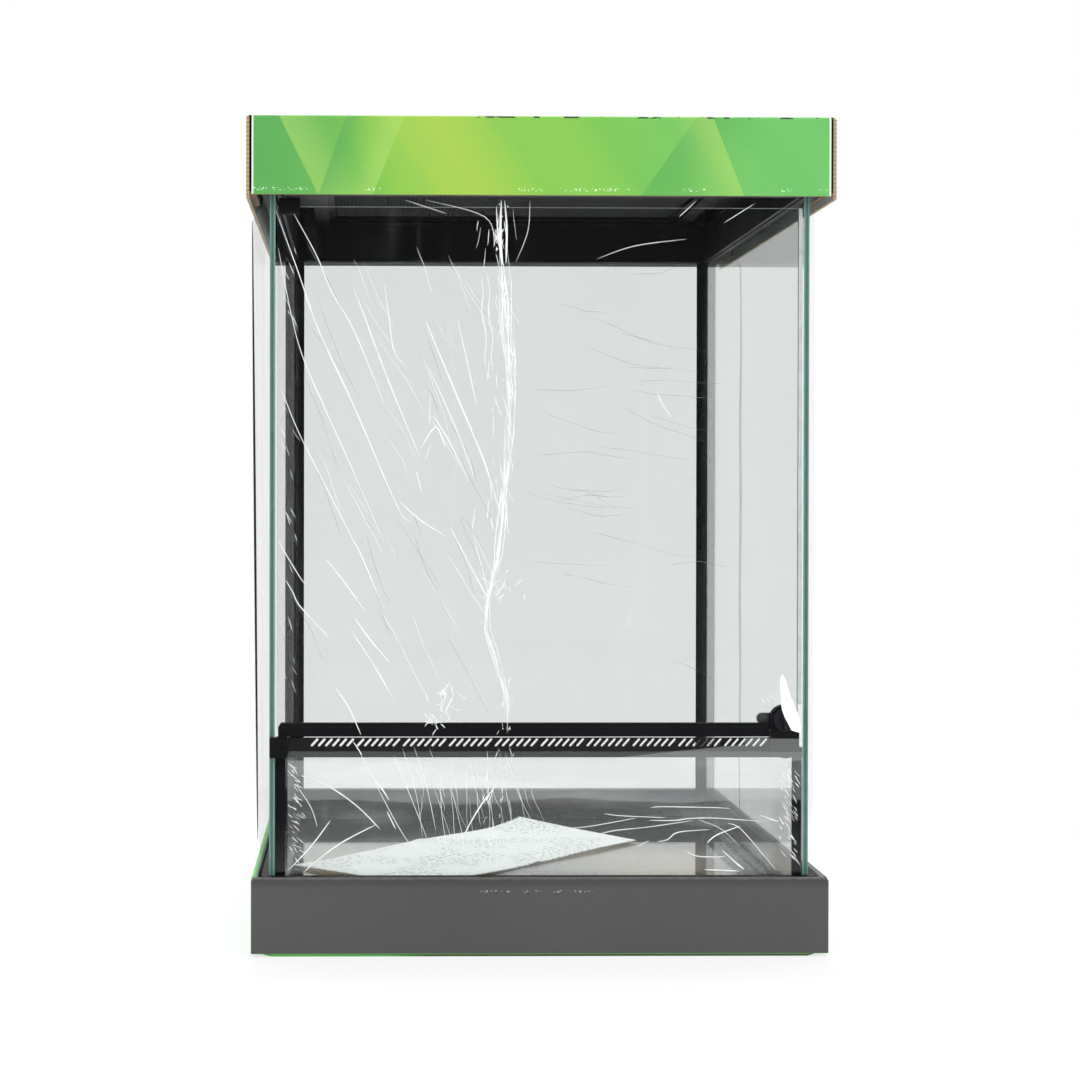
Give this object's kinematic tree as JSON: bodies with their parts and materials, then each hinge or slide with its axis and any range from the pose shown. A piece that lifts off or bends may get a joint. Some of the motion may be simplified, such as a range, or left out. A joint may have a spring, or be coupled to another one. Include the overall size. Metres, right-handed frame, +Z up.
{
  "type": "reptile terrarium",
  "caption": "Front-opening glass terrarium with a slotted vent strip, swing door, mesh lid and cable inlets, in its carton tray and cap.",
  "frame": {"origin": "centre of the carton tray's underside", "axes": "+Z up along the tank's height, the door faces -Y, +X to the right seen from the door"},
  "size_m": [0.3158, 0.31, 0.45],
  "materials": {
    "frame_plastic": "satin",
    "strip_plastic": "satin",
    "pane": "gloss",
    "side_pane": "gloss",
    "silicone": "satin",
    "steel": "satin",
    "seal": "gloss",
    "mesh": "satin",
    "cap_board": "gloss",
    "tray_board": "gloss",
    "paper": "matte",
    "film": "gloss"
  },
  "bodies": {
    "tray": {"bottom_tray": "tray_board"},
    "tank": {"base_frame": "frame_plastic", "floor_glass": "pane", "back_glass": "pane", "left_glass": "side_pane", "right_glass": "side_pane", "lower_front_glass": "pane", "silicone_floor": "silicone", "silicone_rear": "silicone", "silicone_front": "silicone", "vent_strip": "strip_plastic", "hinge_block": "strip_plastic", "latch_keeper": "strip_plastic", "hinge_pins": "steel", "top_frame": "frame_plastic", "leaflet": "paper", "film_lower_front": "film", "film_left": "film", "film_right": "film", "film_back": "film"},
    "door": {"door_glass": "pane", "door_bottom_rail": "strip_plastic", "door_hinge_lower": "strip_plastic", "door_hinge_upper": "strip_plastic", "door_seal": "seal", "latch_housing": "strip_plastic", "film_door": "film"},
    "latch": {"latch_knob": "strip_plastic", "latch_cam": "steel", "latch_screw": "steel"},
    "lid": {"lid_frame": "frame_plastic", "lid_mesh": "mesh", "lid_retainer": "frame_plastic"},
    "left_shutter": {"left_inlet_shutter": "strip_plastic"},
    "right_shutter": {"right_inlet_shutter": "strip_plastic"},
    "cap": {"top_cap": "cap_board"}
  },
  "joints": [
    {"name": "tank_lift", "type": "slide", "parent": "tray", "child": "tank", "axis": [0, 0, 1], "range_m": [0, 0.06]},
    {"name": "door_hinge", "type": "hinge", "parent": "tank", "child": "door", "pos_m": [-0.1385, -0.1442, 0.26], "axis": [0, 0, -1], "range_deg": [0, 105]},
    {"name": "latch_turn", "type": "hinge", "parent": "door", "child": "latch", "pos_m": [0.1325, -0.1442, 0.1264], "axis": [0, -1, 0], "range_deg": [0, 90]},
    {"name": "lid_lift", "type": "slide", "parent": "tank", "child": "lid", "axis": [0, 0, 1], "range_m": [0, 0.12]},
    {"name": "cap_lift", "type": "slide", "parent": "lid", "child": "cap", "axis": [0, 0, 1], "range_m": [0, 0.1]},
    {"name": "left_shutter_slide", "type": "slide", "parent": "tank", "child": "left_shutter", "axis": [0, -1, 0], "range_m": [0, 0.06]},
    {"name": "right_shutter_slide", "type": "slide", "parent": "tank", "child": "right_shutter", "axis": [0, -1, 0], "range_m": [0, 0.06]}
  ]
}
